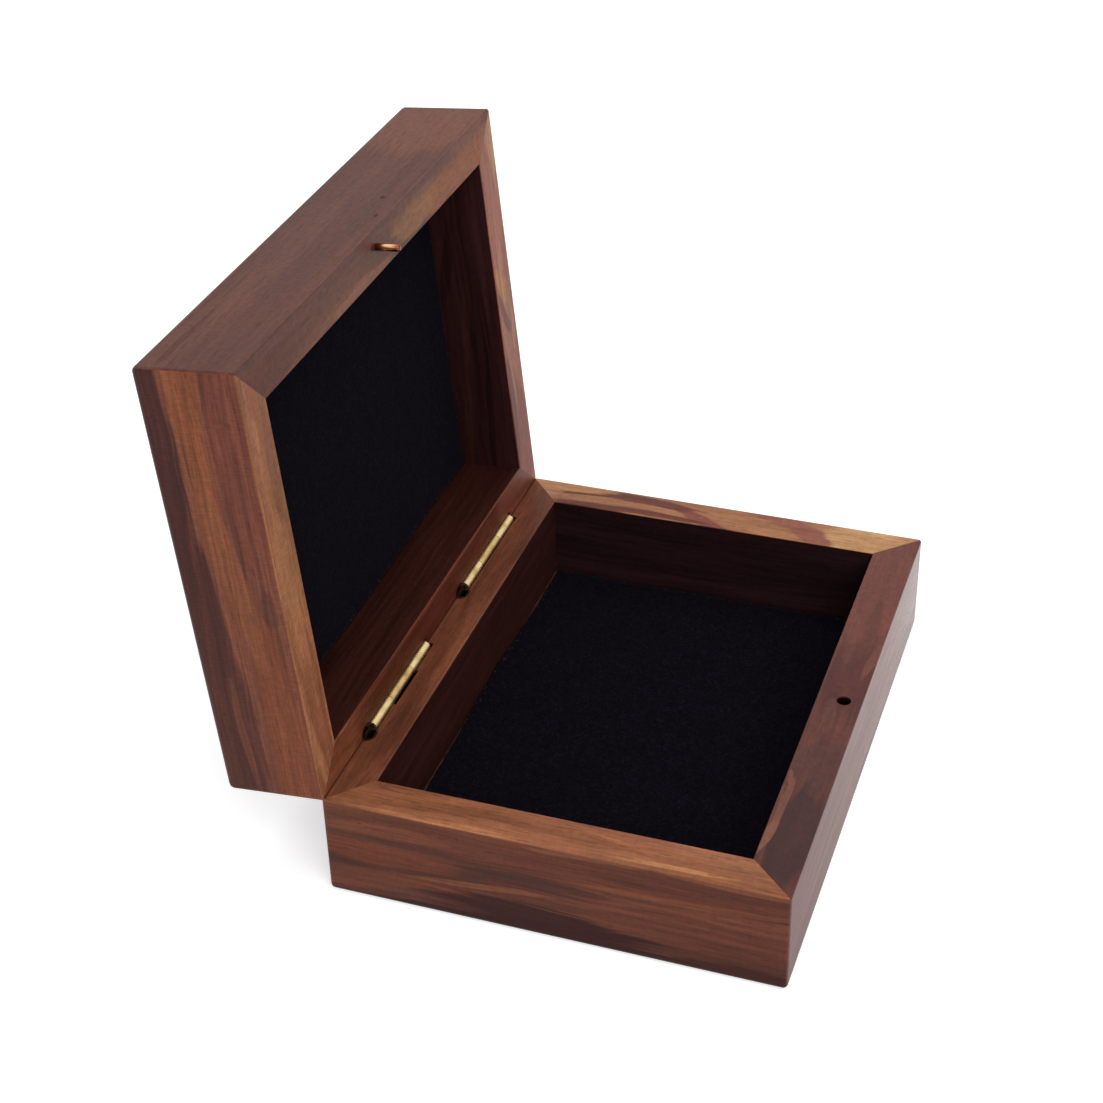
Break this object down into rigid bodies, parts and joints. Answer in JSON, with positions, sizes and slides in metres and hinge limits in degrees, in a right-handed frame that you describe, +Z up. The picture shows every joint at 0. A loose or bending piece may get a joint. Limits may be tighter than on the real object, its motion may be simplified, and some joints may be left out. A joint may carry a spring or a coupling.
{
  "type": "wooden playing card box",
  "caption": "Small rosewood box with mitred walls, felt lined base and lid, two brass butt hinges and a brass closing peg, standing open.",
  "frame": {"origin": "centre of the base's underside", "axes": "+X along the hinge towards the right end, +Y from the front towards the hinge, +Z up out of the base"},
  "size_m": [0.1174, 0.1146, 0.1089],
  "materials": {
    "rosewood": "satin lacquer, reddish brown with darker streaks",
    "black_felt": "matt wool felt",
    "brass": "bright, lightly worn"
  },
  "bodies": {
    "base": {"base_front_wall": "rosewood", "base_right_wall": "rosewood", "base_back_wall": "rosewood", "base_left_wall": "rosewood", "base_bottom_panel": "rosewood", "base_felt": "black_felt", "left_hinge_base_leaf": "brass", "left_hinge_pin": "brass", "left_hinge_base_nails": "brass", "right_hinge_base_leaf": "brass", "right_hinge_pin": "brass", "right_hinge_base_nails": "brass"},
    "lid": {"lid_front_wall": "rosewood", "lid_right_wall": "rosewood", "lid_back_wall": "rosewood", "lid_left_wall": "rosewood", "lid_top_panel": "rosewood", "lid_felt": "black_felt", "left_hinge_lid_leaf": "brass", "left_hinge_lid_nails": "brass", "right_hinge_lid_leaf": "brass", "right_hinge_lid_nails": "brass", "latch_peg": "brass"}
  },
  "joints": [
    {"name": "lid_hinge", "type": "hinge", "parent": "base", "child": "lid", "pos_m": [0, 0.0435, 0.0218], "axis": [-1, 0, 0], "range_deg": [-95, 0]}
  ]
}
